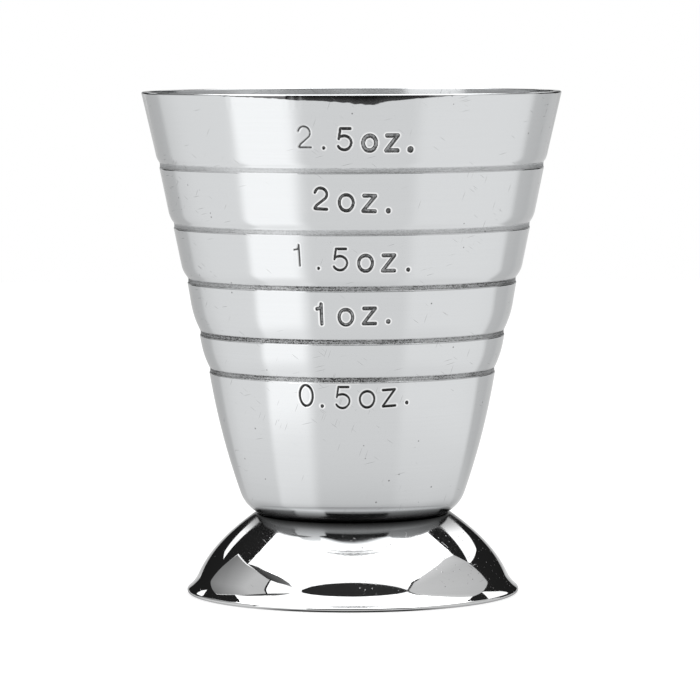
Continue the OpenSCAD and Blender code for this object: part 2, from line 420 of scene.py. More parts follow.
# Spacing of the foot's rows: down the bell, up its inside, round the flare and round the lip
BELL_ROW = 0.16 * MM
BELL_INSIDE_ROW = 0.5 * MM
FLARE_STEP = math.radians(2)
LIP_STEP = math.radians(12)


def foot_outline(sizes, cup):
    """The foot's sheet, from the middle of the seat down the bell to the lip, and back up the inside."""
    corner_r = cup.corner_r
    cradle = polar(1, sizes.shoulder_turn - math.pi / 2)
    shoulder_r = sizes.shoulder_bend_r + sizes.wall
    corner_centre = Vector((cup.flat_d / 2, sizes.seat_h + corner_r))
    shoulder_centre = corner_centre + (corner_r + sizes.shoulder_gap + shoulder_r) * cradle
    shoulder_start = math.pi / 2 + sizes.shoulder_turn
    bell_start = shoulder_centre + polar(shoulder_r, sizes.bell_top_lean)
    lip_r = sizes.wall / 2
    lip_centre = Vector((sizes.lip_d / 2 - lip_r, lip_r))
    flare_centre = lip_centre + polar(lip_r + sizes.flare_r, sizes.lip_lean)
    bell_end = flare_centre - polar(sizes.flare_r, sizes.bell_low_lean)
    bell = WallCurve(bell_start, bell_end, -sizes.bell_top_lean, -sizes.bell_low_lean)
    rest_r = lip_centre.x - sizes.rest_w
    inner_flare_r = sizes.flare_r + sizes.wall
    flare_start = math.pi + sizes.bell_low_lean
    flare_stop = math.pi + math.acos((flare_centre.x - rest_r) / inner_flare_r)
    seat = Vector((0, sizes.seat_h))
    ceiling = Vector((0, sizes.seat_h - sizes.wall))

    def seat_edge(radius, height):
        """Where the slope inside the shoulder comes down to a height."""
        top = shoulder_centre - radius * cradle
        return Vector((top.x - (top.y - height) / math.tan(sizes.shoulder_turn), height))

    outside = flat_points(seat, seat_edge(shoulder_r, seat.y), FLAT_RINGS)
    outside += arc_points(shoulder_centre, shoulder_r, shoulder_start, sizes.bell_top_lean)
    outside += bell.points(BELL_ROW)
    outside += arc_points(flare_centre, sizes.flare_r, flare_start, math.pi + sizes.lip_lean, FLARE_STEP)
    outside += arc_points(lip_centre, lip_r, sizes.lip_lean, -math.pi / 2, LIP_STEP)
    inside = flat_points(ceiling, seat_edge(sizes.shoulder_bend_r, ceiling.y), FLAT_RINGS)
    inside += arc_points(shoulder_centre, sizes.shoulder_bend_r, shoulder_start, sizes.bell_top_lean)
    inside += bell.points(BELL_INSIDE_ROW, sizes.wall)
    inside += arc_points(flare_centre, inner_flare_r, flare_start, flare_stop)
    inside += [Vector((rest_r, 0))]
    return without_repeats(outside + inside[::-1])


# Modelling

SHARP_EDGE = math.radians(25)


def deselect_all():
    if bpy.context.object and bpy.context.object.mode != "OBJECT":
        bpy.ops.object.mode_set(mode="OBJECT")
    bpy.ops.object.select_all(action="DESELECT")


def turn_on_lathe(name, outline, segments):
    """Draws an outline corner by corner in the XZ plane and spins it into a closed piece."""
    deselect_all()
    first = outline[0]
    bpy.ops.mesh.primitive_plane_add(size=MM)
    piece = bpy.context.object
    piece.name = name
    piece.data.name = name
    bpy.ops.object.mode_set(mode="EDIT")
    bpy.ops.mesh.select_mode(type="VERT")
    bpy.ops.mesh.select_all(action="SELECT")
    bpy.ops.mesh.merge(type="CENTER")
    bpy.ops.transform.translate(value=(first.x, 0, first.y))
    for here, there in zip(outline, outline[1:]):
        step = (there.x - here.x, 0, there.y - here.y)
        bpy.ops.mesh.extrude_vertices_move(TRANSFORM_OT_translate={"value": step})
    bpy.ops.mesh.select_all(action="SELECT")
    bpy.ops.mesh.spin(steps=segments, angle=2 * math.pi, center=(0, 0, 0), axis=(0, 0, 1))
    bpy.ops.mesh.select_all(action="SELECT")
    bpy.ops.mesh.remove_doubles(threshold=MICRON)
    bpy.ops.mesh.normals_make_consistent(inside=False)
    bpy.ops.object.mode_set(mode="OBJECT")
    bpy.ops.object.shade_smooth_by_angle(angle=SHARP_EDGE)
    return piece


def select_faces(piece, wanted):
    """Selects the faces whose middle passes a test, and leaves the piece in edit mode."""
    bpy.ops.object.mode_set(mode="EDIT")
    bpy.ops.mesh.select_mode(type="FACE")
    bpy.ops.mesh.select_all(action="DESELECT")
    bpy.ops.object.mode_set(mode="OBJECT")
    for face in piece.data.polygons:
        face.select = wanted(face.center)
    bpy.ops.object.mode_set(mode="EDIT")


def apply_modifier(piece, kind, **settings):
    """Adds a modifier, sets it and applies it."""
    modifier = piece.modifiers.new(kind.lower(), kind)
    for setting, value in settings.items():
        setattr(modifier, setting, value)
    bpy.ops.object.modifier_apply(modifier=modifier.name)


def ellipse(centre, across, up, start, end, step=12):
    """Points along an oval stroke, between two angles in degrees."""
    steps = round(abs(end - start) / step)
    turns = [math.radians(start + (end - start) * i / steps) for i in range(steps + 1)]
    return [(centre[0] + across * math.cos(turn), centre[1] + up * math.sin(turn)) for turn in turns]


# Strokes of each punch, in a box from -0.5 to 0.5 across and from 0 to 1 up
PUNCHES = {
    "0": ellipse((0, 0.5), 0.5, 0.5, 90, 450),
    "1": [(-0.5, 0.76), (0, 0.79), (0.16, 0.86), (0.24, 1), (0.24, 0)],
    "2": ellipse((-0.02, 0.7), 0.48, 0.3, 165, -42) + [(-0.36, 0.15), (-0.5, 0.02), (-0.42, 0), (0.5, 0)],
    "5": [(0.42, 1), (-0.28, 1), (-0.4, 0.52)] + ellipse((-0.02, 0.33), 0.5, 0.33, 138, -150),
    "o": ellipse((0, 0.5), 0.5, 0.5, 90, 450),
    "z": [(-0.46, 1), (0.46, 1), (-0.48, 0), (0.5, 0)],
    ".": [(0, 0), (0, 0)],
}


def turn_of(point):
    """Angle of a point round the cup's axis, to the right of the front."""
    return math.atan2(point.x, -point.y)


class Strike:
    """One stamped character, laid out flat: across along the arc, and up along the cup's axis."""
    # Width of the refined wall round a character, and share of the stroke's width that is still sharp
    MARGIN = 0.55 * MM
    WEAR = 0.9
    # Width of the finest faces beside a stroke, and distance of the burr from it, in widths of the flank
    FINEST = 3
    BURR = 0.8

    def __init__(self, character, along, foot, stroke, force, tilt, wall):
        stroke = stroke * MM
        outer = DIGIT_HEIGHT if character.isdigit() else LETTER_HEIGHT
        is_dot = character == "."
        self.height = 0 if is_dot else outer - stroke
        self.width = 0 if is_dot else outer * CHARACTER_WIDTHS[character] - stroke
        self.foot = foot * MM + (0 if is_dot else stroke / 2)
        self.radius = wall.outside_radius(self.foot + self.height / 2)
        self.along = along * MM
        self.half_stroke = self.WEAR * stroke / 2
        self.force = force
        middle = Vector((0, self.height / 2))
        upright = [Vector((x * self.width, (y - 0.5) * self.height)) for x, y in PUNCHES[character]]
        turn = Matrix.Rotation(math.radians(tilt), 2)
        self.stroke_points = [turn @ point + middle for point in upright]

    def flat(self, point):
        """Where a point of the wall lies in the character's own flat box."""
        return Vector((turn_of(point) * self.radius - self.along, point.z - self.foot))

    def near(self, point):
        place = self.flat(point)
        reach = self.half_stroke + self.MARGIN
        return abs(place.x) <= self.width / 2 + reach and -reach <= place.y <= self.height + reach

    def distance(self, point):
        """Distance from a point of the wall to the middle of the stroke."""
        place = self.flat(point)
        least = math.inf
        for start, end in zip(self.stroke_points, self.stroke_points[1:]):
            run = end - start
            along = 0 if run.length == 0 else min(1, max(0, (place - start).dot(run) / run.length_squared))
            least = min(least, (place - start - along * run).length)
        return least

    def beside(self, point, edge):
        """Whether a point of the wall is in the stroke or no further than an edge's width from it."""
        return self.near(point) and self.distance(point) < self.half_stroke + edge


def store(piece, name, values):
    """Stores a number on each corner of a mesh."""
    attribute = piece.data.attributes.new(name, "FLOAT", "POINT")
    for corner, value in zip(attribute.data, values):
        corner.value = value


class Facet:
    """The facet that polishing ground along the front of the rim, highest a little right of the middle."""
    # Degrees to the right of the front, and share of the greatest height
    PROFILE = ((-42, 0), (-36, 0.2), (-27, 0.28), (-19, 0.4), (-16, 0.52), (-9, 0.58), (-2, 0.75), (4, 0.97),
               (7, 0.9), (9, 0.66), (13, 0.55), (17, 0.42), (24, 0.27), (34, 0))
    # How uneven its foot is, as a share of its height, and how fast that changes with each degree
    RAGGED = 0.12
    RAGGED_SCALE = 0.6
    # Where the tail that is painted all dark ends, in degrees, and how dark the painted reflection is at the
    # facet's foot from there on
    TAIL_END = -17
    FOOT_DARKNESS = 0.55
    # Height of the refined rim in heights of the facet, and cuts across each of its faces
    REFINED = 1.3
    CUTS = 3

    def __init__(self, wall):
        self.wall = wall
        self.sizes = wall.sizes
        self.start = wall.sizes.rim_h - self.REFINED * wall.sizes.facet_h

    def height(self, turn):
        """Height of the facet at a number of degrees to the right of the front."""
        ragged = 1 + self.RAGGED * noise.noise(Vector((turn * self.RAGGED_SCALE, 0, 0)))
        for (start, low), (end, high) in zip(self.PROFILE, self.PROFILE[1:]):
            if start <= turn <= end:
                return self.sizes.facet_h * ragged * (low + (high - low) * (turn - start) / (end - start))
        return 0

    def radius(self, point):
        """The largest radius that grinding has left at a point, or None where it didn't reach."""
        height = self.height(math.degrees(turn_of(point)))
        foot = self.sizes.rim_h - height
        if height == 0 or point.z <= foot:
            return None
        edge = self.sizes.rim_outer_r
        top = self.sizes.rim_h - edge
        rounding = edge - math.sqrt(max(0, edge**2 - max(0, point.z - top) ** 2))
        inward = max(0, min(point.z, top) - foot) * math.tan(self.sizes.facet_lean)
        return self.wall.outside_radius(foot) - inward - rounding

    def darkness(self, point):
        """How dark the painted reflection on the facet is at a point: most along its top, and not at all on the
        rounded edge.
        """
        if point.z > self.sizes.rim_h - self.sizes.rim_outer_r:
            return 0
        turn = math.degrees(turn_of(point))
        if turn < self.TAIL_END:
            return 1
        height = self.height(turn)
        up = (point.z - self.sizes.rim_h + height) / height
        return self.FOOT_DARKNESS + (1 - self.FOOT_DARKNESS) * smooth_step(up)


def on_outside(wall, point):
    """Whether a point of the sheet lies on the outer side of it."""
    return math.hypot(point.x, point.y) > wall.outside_radius(point.z) - wall.sizes.wall / 2


def grind_rim(cup, wall):
    """Refines the front of the rim, grinds the facet into it, and stores the painted dark reflection on each
    corner of it.
    """
    facet = Facet(wall)

    def along_front(point):
        turn = math.degrees(turn_of(point))
        return point.z > facet.start and facet.PROFILE[0][0] < turn < facet.PROFILE[-1][0]

    select_faces(cup, lambda point: along_front(point) and on_outside(wall, point))
    bpy.ops.mesh.subdivide(number_cuts=facet.CUTS)
    bpy.ops.object.mode_set(mode="OBJECT")
    # How dark the reflection painted on the facet is at each corner
    ground = cup.data.attributes.new("ground", "FLOAT", "POINT")
    for corner in cup.data.vertices:
        limit = facet.radius(corner.co) if along_front(corner.co) else None
        radius = math.hypot(corner.co.x, corner.co.y)
        if limit and radius > limit:
            stretch = limit / radius
            corner.co = (corner.co.x * stretch, corner.co.y * stretch, corner.co.z)
            ground.data[corner.index].value = facet.darkness(corner.co)
    bpy.ops.object.mode_set(mode="EDIT")
    bpy.ops.mesh.select_all(action="SELECT")
    bpy.ops.mesh.remove_doubles(threshold=MICRON)
    bpy.ops.object.mode_set(mode="OBJECT")


def refine_under(cup, wall, close, cuts=2):
    """Cuts up the faces on the front of the outside that pass a test."""
    select_faces(cup, lambda point: point.y < 0 and on_outside(wall, point) and close(point))
    bpy.ops.mesh.subdivide(number_cuts=cuts)
    bpy.ops.object.mode_set(mode="OBJECT")


def stamp_marks(cup, wall):
    """Refines the wall under each character, presses the strokes in and raises a fine burr beside them."""
    sizes = wall.sizes
    strikes = [Strike(*strike, wall) for strike in STRIKES]
    edge = Strike.FINEST * sizes.stamp_flank
    refine_under(cup, wall, lambda point: any(strike.near(point) for strike in strikes))
    refine_under(cup, wall, lambda point: any(strike.beside(point, edge) for strike in strikes))

    pressed = cup.vertex_groups.new(name="pressed")
    raised = cup.vertex_groups.new(name="raised")
    recess, burr = {}, {}
    lowest = sizes.bottom_h + sizes.corner_r
    highest = sizes.rim_h - wall.FINE_ROWS * sizes.facet_h
    for corner in cup.data.vertices:
        point = corner.co
        if not (lowest < point.z < highest and on_outside(wall, point)):
            continue
        stretch = wall.outside_radius(point.z) / math.hypot(point.x, point.y)
        corner.co = (point.x * stretch, point.y * stretch, point.z)
        for strike in strikes:
            if not strike.near(point):
                continue
            beyond = strike.distance(point) - strike.half_stroke
            depth = strike.force * smooth_step(-beyond / sizes.stamp_flank)
            if depth > recess.get(corner.index, 0):
                recess[corner.index] = depth
                pressed.add([corner.index], depth, "REPLACE")
            # The burr's height also sets the painted highlight beside the stroke
            ridge = strike.force * max(0, 1 - abs(beyond / sizes.stamp_flank - strike.BURR))
            if ridge > 0:
                burr[corner.index] = max(ridge, burr.get(corner.index, 0))
                raised.add([corner.index], ridge, "REPLACE")
    apply_modifier(cup, "DISPLACE", vertex_group="pressed", strength=-sizes.stamp_depth, mid_level=0)
    apply_modifier(cup, "DISPLACE", vertex_group="raised", strength=sizes.stamp_burr, mid_level=0)
    return recess, burr


# A corner whose normal rises more than this is on the floor or on top of the rim
FACES_UP = 0.8


def store_masks(cup, wall, recess, burr):
    """Stores on each corner what the finish reads: recesses, the painted highlights beside them and under the
    grooves, the grooves' painted shade, and the inside.
    """
    def is_inside(corner):
        outward = Vector((corner.co.x, corner.co.y, 0)).normalized()
        return corner.normal.dot(outward) < 0 or corner.normal.z > FACES_UP

    corners = cup.data.vertices
    inside = [is_inside(corner) for corner in corners]
    grooves = [0 if hidden else wall.groove_darkness(corner.co.z) for corner, hidden in zip(corners, inside)]
    # Painted highlight under each groove and on the burr beside each stroke
    edges = [0 if hidden else max(wall.painted_highlight(corner.co.z), burr.get(corner.index, 0))
             for corner, hidden in zip(corners, inside)]
    store(cup, "recess", [recess.get(corner.index, 0) for corner in corners])
    store(cup, "painted_highlight", edges)
    store(cup, "groove", grooves)
    store(cup, "inside", [1 if hidden else 0 for hidden in inside])


# Finishes

def grey(level):
    return (level, level, level, 1)


def opaque(tint):
    return (*tint, 1)


def add_node(tree, kind, inputs=None, **settings):
    """Adds a shader node, sets it, and fills its inputs with values or with other nodes' outputs."""
    made = tree.nodes.new(kind)
    for setting, value in settings.items():
        setattr(made, setting, value)
    for socket, value in (inputs or {}).items():
        if isinstance(value, bpy.types.NodeSocket):
            tree.links.new(value, made.inputs[socket])
        else:
            made.inputs[socket].default_value = value
    return made


def connect(tree, sockets, values):
    """Links other nodes' outputs to sockets by their names."""
    for name, value in values.items():
        tree.links.new(value, sockets[name])


def math_node(tree, operation, first, second):
    return add_node(tree, "ShaderNodeMath", {0: first, 1: second}, operation=operation).outputs[0]


def plus(tree, first, second):
    return math_node(tree, "ADD", first, second)


def minus(tree, first, second):
    return math_node(tree, "SUBTRACT", first, second)


def times(tree, first, second):
    return math_node(tree, "MULTIPLY", first, second)


def larger(tree, first, second):
    return math_node(tree, "MAXIMUM", first, second)


def ramp_between(tree, value, from_min, from_max, to_min=0.0, to_max=1.0):
    """A value eased from one range into another."""
    inputs = {"Value": value, "From Min": from_min, "From Max": from_max, "To Min": to_min, "To Max": to_max}
    return add_node(tree, "ShaderNodeMapRange", inputs, interpolation_type="SMOOTHSTEP").outputs[0]


def on_piece(tree):
    """The place on a piece, in metres from the part's origin."""
    return add_node(tree, "ShaderNodeTexCoord").outputs["Object"]


def clouds(tree, where, scale, detail, roughness=0.5):
    """Cloudy noise between 0 and 1."""
    inputs = {"Vector": where, "Scale": scale, "Detail": detail, "Roughness": roughness}
    return add_node(tree, "ShaderNodeTexNoise", inputs).outputs["Fac"]


def new_group(name, inputs, outputs):
    """A shader node group with number inputs and outputs."""
    group = bpy.data.node_groups.new(name, "ShaderNodeTree")
    for label, default in inputs.items():
        socket = group.interface.new_socket(label, in_out="INPUT", socket_type="NodeSocketFloat")
        socket.default_value = default
    for label in outputs:
        group.interface.new_socket(label, in_out="OUTPUT", socket_type="NodeSocketFloat")
    return group, add_node(group, "NodeGroupInput").outputs, add_node(group, "NodeGroupOutput").inputs


def turned_polish():
    """Fine lines left around the axis by polishing on a lathe, and the cloudy haze between them."""
    inputs = {"Along": 60, "Across": 9000, "Haze": 120}
    group, given, put_out = new_group("turned_polish", inputs, ("Lines", "Haze"))
    where = on_piece(group)
    scales = {"X": given["Along"], "Y": given["Along"], "Z": given["Across"]}
    scale = add_node(group, "ShaderNodeCombineXYZ", scales).outputs[0]
    stretched = add_node(group, "ShaderNodeVectorMath", {0: where, 1: scale}, operation="MULTIPLY").outputs[0]
    lines = clouds(group, stretched, 1, detail=4, roughness=0.65)
    haze = clouds(group, where, given["Haze"], detail=5)
    connect(group, put_out, {"Lines": ramp_between(group, lines, 0.25, 0.75),
                             "Haze": ramp_between(group, haze, 0.3, 0.7)})


# Layers of scratches: tilt in degrees, and cells a metre along and across the scratches
SCRATCH_LAYERS = ((14, 300, 9000), (-38, 420, 11000), (71, 360, 10000))
SCRATCH_SIZE = 0.3
PATCH_SCALE = 70


def wear_marks():
    """Pits, and short scratches lying three ways, in patches."""
    inputs = {"Pits": 0.1, "Scratches": 0.1, "Pit Size": 0.08, "Pit Scale": 900}
    group, given, put_out = new_group("wear_marks", inputs, ("Pits", "Scratches"))
    where = on_piece(group)
    patch = ramp_between(group, clouds(group, where, PATCH_SCALE, detail=2), 0.45, 0.66, 0.12, 1.6)

    def spots(vector, scale, size, amount):
        cells = add_node(group, "ShaderNodeTexVoronoi", {"Vector": vector, "Scale": scale}).outputs
        chance = add_node(group, "ShaderNodeSeparateColor", {"Color": cells["Color"]}).outputs["Red"]
        chosen = math_node(group, "LESS_THAN", chance, times(group, amount, patch))
        spot = minus(group, 1, math_node(group, "DIVIDE", cells["Distance"], size))
        return times(group, chosen, ramp_between(group, spot, 0.0, 0.6))

    def scratches(tilt, along, across):
        rotation, scale = (0, math.radians(tilt), 0), (along, along, across)
        turned = add_node(group, "ShaderNodeMapping", {"Vector": where, "Rotation": rotation}).outputs[0]
        laid = add_node(group, "ShaderNodeMapping", {"Vector": turned, "Scale": scale}).outputs[0]
        return spots(laid, 1, SCRATCH_SIZE, given["Scratches"])

    first, second, third = [scratches(*layer) for layer in SCRATCH_LAYERS]
    connect(group, put_out, {"Pits": spots(where, given["Pit Scale"], given["Pit Size"], given["Pits"]),
                             "Scratches": larger(group, larger(group, first, second), third)})


# How fast the painted shade round the joint fades with the distance
JOINT_FADE = 1.8


def painted_joint_shade():
    """Painted shade round the joint of the cup and the foot, fading with the distance from it; the finishes
    also roughen the steel there.
    """
    inputs = {"Radius": 12.55 * MM, "Height": 10.7 * MM, "Reach": 1.7 * MM}
    group, given, put_out = new_group("painted_joint_shade", inputs, ("Shade",))

    def distance(across, up):
        flat = add_node(group, "ShaderNodeCombineXYZ", {"X": across, "Y": up}).outputs[0]
        return add_node(group, "ShaderNodeVectorMath", {0: flat}, operation="LENGTH").outputs["Value"]

    where = add_node(group, "ShaderNodeSeparateXYZ", {0: on_piece(group)}).outputs
    across = minus(group, distance(where["X"], where["Y"]), given["Radius"])
    up = minus(group, where["Z"], given["Height"])
    share_of_reach = math_node(group, "DIVIDE", distance(across, up), given["Reach"])
    untouched = math_node(group, "POWER", math_node(group, "MINIMUM", share_of_reach, 1), JOINT_FADE)
    connect(group, put_out, {"Shade": minus(group, 1, untouched)})


def shared_groups():
    """Builds the effects that more than one finish uses, once."""
    for build in (turned_polish, wear_marks, painted_joint_shade):
        if build.__name__ not in bpy.data.node_groups:
            build()


def use_group(tree, name, inputs=None):
    """Adds a shared effect to a material."""
    return add_node(tree, "ShaderNodeGroup", inputs, node_tree=bpy.data.node_groups[name]).outputs


def stored(tree, name):
    """A value that was stored on the mesh."""
    return add_node(tree, "ShaderNodeAttribute", attribute_name=name).outputs["Fac"]


# Sockets of a colour mix, which share their names with those of the other kinds of mix
MIX_AMOUNT, MIX_FIRST, MIX_SECOND, MIX_RESULT = 0, 6, 7, 2


def tinted(tree, first, mask, second, strength=1):
    """A colour that turns into another where a mask says so, by a share of the mask."""
    amount = mask if strength == 1 else times(tree, mask, strength)
    inputs = {MIX_AMOUNT: amount, MIX_FIRST: first, MIX_SECOND: second}
    return add_node(tree, "ShaderNodeMix", inputs, data_type="RGBA").outputs[MIX_RESULT]


def hazy(tree, haze, roughness, less, more):
    """A roughness that goes down and up a little with the haze."""
    return ramp_between(tree, haze, 0, 1, roughness - less, roughness + more)


def roughened(tree, roughness, *causes):
    """A roughness raised by each cause: a mask, and how much it adds where the mask is full."""
    for mask, added in causes:
        roughness = plus(tree, roughness, times(tree, mask, added))
    return roughness


def bump(tree, height, distance, strength=1, over=None, invert=False):
    """A normal that follows a height map, laid over another normal."""
    inputs = {"Strength": strength, "Distance": distance, "Height": height}
    if over is not None:
        inputs["Normal"] = over
    return add_node(tree, "ShaderNodeBump", inputs, invert=invert).outputs["Normal"]


# Steel mirrors a little less at a grazing angle than a plain metal shader does
EDGE_TINT = grey(0.74)


def new_finish(name):
    """An empty metal material, its nodes and its shader's inputs."""
    material = bpy.data.materials.new(name)
    material.use_nodes = True
    tree = material.node_tree
    inputs = tree.nodes["Principled BSDF"].inputs
    inputs["Metallic"].default_value = 1
    inputs["Specular Tint"].default_value = EDGE_TINT
    return material, tree, inputs


# Share of the recess's depth, and how much painted shade it gets there: most along the sides of a stroke
PAINTED_SHADE_BY_DEPTH = ((0.06, 0), (0.15, 0.9), (0.5, 0.98), (0.75, 0.9), (0.88, 0.68), (1, 0.45))


def residue_held(tree, depth):
    """How much painted shade a recess gets at a share of its depth."""
    ramp = add_node(tree, "ShaderNodeValToRGB", {"Fac": depth})
    stops = ramp.color_ramp.elements
    for position, amount in PAINTED_SHADE_BY_DEPTH[1:-1]:
        stops.new(position)
    for stop, (position, amount) in zip(stops, PAINTED_SHADE_BY_DEPTH):
        stop.position = position
        stop.color = grey(amount)
    return ramp.outputs["Color"]


def satin_steel(finish):
    """Satin-polished steel: turned lines, haze, pits and scratches, with painted shade in every recess and
    painted highlights beside them.
    """
    material, tree, shader = new_finish("satin_steel")
    polish = use_group(tree, "turned_polish", {"Along": 50, "Across": 7000, "Haze": 90})
    mottle = use_group(tree, "turned_polish", {"Along": 1500, "Across": 9000, "Haze": 6500})
    wear = use_group(tree, "wear_marks", {"Pits": 0.28, "Scratches": 0.042, "Pit Size": 0.11, "Pit Scale": 700})
    recess, groove, ground, inside = [stored(tree, name) for name in ("recess", "groove", "ground", "inside")]
    where = on_piece(tree)
    grain = clouds(tree, where, 2600, detail=3)
    waves = clouds(tree, where, 110, detail=2)

    marks = larger(tree, wear["Pits"], times(tree, wear["Scratches"], 0.65))
    # Painted shade in the stamped strokes, darkest along their sides
    in_strokes = residue_held(tree, times(tree, recess, ramp_between(tree, grain, 0.2, 0.8, 0.75, 1.1)))
    # Painted shade in the grooves, mottled along them
    streaked = times(tree, groove, ramp_between(tree, mottle["Lines"], 0.1, 0.9, 0.8, 1.25))
    speckled = times(tree, streaked, ramp_between(tree, mottle["Haze"], 0.2, 0.8, 0.65, 1.35))
    in_grooves = times(tree, speckled, ramp_between(tree, waves, 0.38, 0.62, 0.75, 1.2))
    # Painted shade round the joint, kept off the inside of the cup
    at_joint = times(tree, use_group(tree, "painted_joint_shade")["Shade"], minus(tree, 1, inside))

    residue = opaque(finish.residue)
    lined = tinted(tree, opaque(finish.satin), polish["Lines"], grey(0.4), strength=0.05)
    worn = tinted(tree, lined, marks, grey(0.12), strength=0.8)
    # Painted highlight under the grooves and on the burrs
    bright_edges = tinted(tree, worn, stored(tree, "painted_highlight"), opaque(finish.painted_highlight))
    # Painted dark reflection on the rim's facet
    facet_painted_dark = tinted(tree, bright_edges, ground, grey(0.1))
    lines_dark = tinted(tree, facet_painted_dark, in_grooves, residue)
    strokes_dark = tinted(tree, lines_dark, in_strokes, residue)
    joint_dark = tinted(tree, strokes_dark, at_joint, residue, strength=0.85)

    untouched = hazy(tree, polish["Haze"], finish.satin_roughness, less=0.02, more=0.03)
    dirt = larger(tree, recess, ramp_between(tree, groove, 0, 0.12))
    half_ground = times(tree, ground, minus(tree, 1, ground))
    less_polished = finish.inside_roughness - finish.satin_roughness
    roughness = roughened(tree, untouched, (dirt, 0.35), (marks, 0.15), (half_ground, 0.35), (at_joint, 0.25),
                          (inside, less_polished))

    ripple = bump(tree, waves, 12 * MICRON)
    dents = bump(tree, marks, 8 * MICRON, strength=0.6, over=ripple, invert=True)
    rough_floor = bump(tree, times(tree, dirt, grain), 40 * MICRON, over=dents)
    connect(tree, shader, {"Base Color": joint_dark, "Roughness": roughness, "Normal": rough_floor})
    return material


def mirror_steel(finish):
    """Mirror-polished steel, with a breath of haze, a few pits and a slightly wavy sheet."""
    material, tree, shader = new_finish("mirror_steel")
    polish = use_group(tree, "turned_polish", {"Along": 90, "Across": 5000, "Haze": 140})
    wear = use_group(tree, "wear_marks", {"Pits": 0.95, "Scratches": 0.03, "Pit Size": 0.13, "Pit Scale": 1250})
    # Painted shade round the joint, reaching further down the foot
    at_joint = use_group(tree, "painted_joint_shade", {"Reach": 3.7 * MM})["Shade"]
    marks = larger(tree, wear["Pits"], times(tree, wear["Scratches"], 0.4))
    lined = tinted(tree, opaque(finish.mirror), polish["Lines"], grey(0.5), strength=0.04)
    worn = tinted(tree, lined, marks, grey(0.08), strength=0.9)
    joint_dark = tinted(tree, worn, at_joint, opaque(finish.residue), strength=0.92)
    untouched = hazy(tree, polish["Haze"], finish.mirror_roughness, less=0.015, more=0.015)
    roughness = roughened(tree, untouched, (at_joint, 0.12), (marks, 0.6))
    ripple = bump(tree, clouds(tree, on_piece(tree), 160, detail=2), 6 * MICRON)
    dents = bump(tree, marks, 8 * MICRON, strength=0.7, over=ripple, invert=True)
    connect(tree, shader, {"Base Color": joint_dark, "Roughness": roughness, "Normal": dents})
    return material


STRAW_TINT = (0.42, 0.34, 0.24, 1)
WELD_PIT = (0.1, 0.09, 0.08, 1)


def weld_metal(finish):
    """Dull cast metal of a spot weld, with a straw tint where it was hottest."""
    material, tree, shader = new_finish("weld_metal")
    polish = use_group(tree, "turned_polish", {"Along": 900, "Across": 900, "Haze": 700})
    wear = use_group(tree, "wear_marks", {"Pits": 0.5, "Scratches": 0.0, "Pit Size": 0.3, "Pit Scale": 2500})
    heated = tinted(tree, opaque(finish.weld), polish["Haze"], STRAW_TINT)
    pitted = tinted(tree, heated, wear["Pits"], WELD_PIT)
    roughness = ramp_between(tree, polish["Lines"], 0, 1, 0.4, 0.65)
    uneven = bump(tree, polish["Lines"], 30 * MICRON, strength=0.5)
    connect(tree, shader, {"Base Color": pitted, "Roughness": roughness, "Normal": uneven})
    return material


def give_finish(piece, material):
    """Gives a piece one finish."""
    piece.data.materials.clear()
    piece.data.materials.append(material)


# Studio

WHITE = grey(1)
PALE_PAPER = grey(0.45)
FLOOR_RADIUS = 700 * MM
FLOOR_DROP = 0.05 * MM


def seen_directly(tree):
    """1 for rays from the camera, from metal and through glass, 0 for the light that falls on surfaces."""
    path = add_node(tree, "ShaderNodeLightPath").outputs
    in_metal = larger(tree, path["Is Camera Ray"], path["Is Glossy Ray"])
    return larger(tree, in_metal, path["Is Transmission Ray"])


def white_room(studio):
    """A white world that shows as white, and throws only a soft fill on the table."""
    world = bpy.data.worlds.new("white_room")
    bpy.context.scene.world = world
    world.use_nodes = True
    tree = world.node_tree
    background = tree.nodes["Background"].inputs
    background["Color"].default_value = WHITE
    strength = ramp_between(tree, seen_directly(tree), 0, 1, studio.room_fill, 1)
    connect(tree, background, {"Strength": strength})


def new_surface(name):
    """A material without a shader, its nodes and the inputs of its output."""
    material = bpy.data.materials.new(name)
    material.use_nodes = True
    tree = material.node_tree
    tree.nodes.remove(tree.nodes["Principled BSDF"])
    return material, tree, tree.nodes["Material Output"].inputs


def pale_floor(studio):
    """A round pale table top that keeps the object's shadow."""
    deselect_all()
    bpy.ops.mesh.primitive_circle_add(vertices=96, radius=FLOOR_RADIUS, fill_type="NGON",
                                      location=(0, 0, -FLOOR_DROP))
    floor = bpy.context.object
    floor.name = "studio_floor"
    material, tree, output = new_surface("pale_table")
    paper = add_node(tree, "ShaderNodeBsdfDiffuse", {"Color": PALE_PAPER})
    strength = times(tree, seen_directly(tree), studio.floor_glow)
    glow = add_node(tree, "ShaderNodeEmission", {"Color": WHITE, "Strength": strength})
    both = add_node(tree, "ShaderNodeAddShader", {0: paper.outputs[0], 1: glow.outputs[0]})
    connect(tree, output, {"Surface": both.outputs[0]})
    floor.data.materials.append(material)


def aim(turn, rise, distance):
    """A point in a direction from the object: degrees to the right of the front, and degrees up."""
    turn, rise = math.radians(turn), math.radians(rise)
    level = distance * math.cos(rise)
    return Vector((level * math.sin(turn), -level * math.cos(turn), distance * math.sin(rise)))


def card_glow():
    """A light whose brightness is stored on its mesh."""
    if "card_glow" in bpy.data.materials:
        return bpy.data.materials["card_glow"]
    material, tree, output = new_surface("card_glow")
    light = add_node(tree, "ShaderNodeEmission", {"Color": WHITE, "Strength": stored(tree, "glow")})
    connect(tree, output, {"Surface": light.outputs[0]})
    return material


def show_in_steel(card, glows):
    """Makes a mesh of the studio a light that only shows in the steel, with a brightness for each corner."""
    store(card, "glow", glows)
    card.data.materials.append(card_glow())
    card.visible_camera = False
    card.visible_diffuse = False
    card.visible_shadow = False


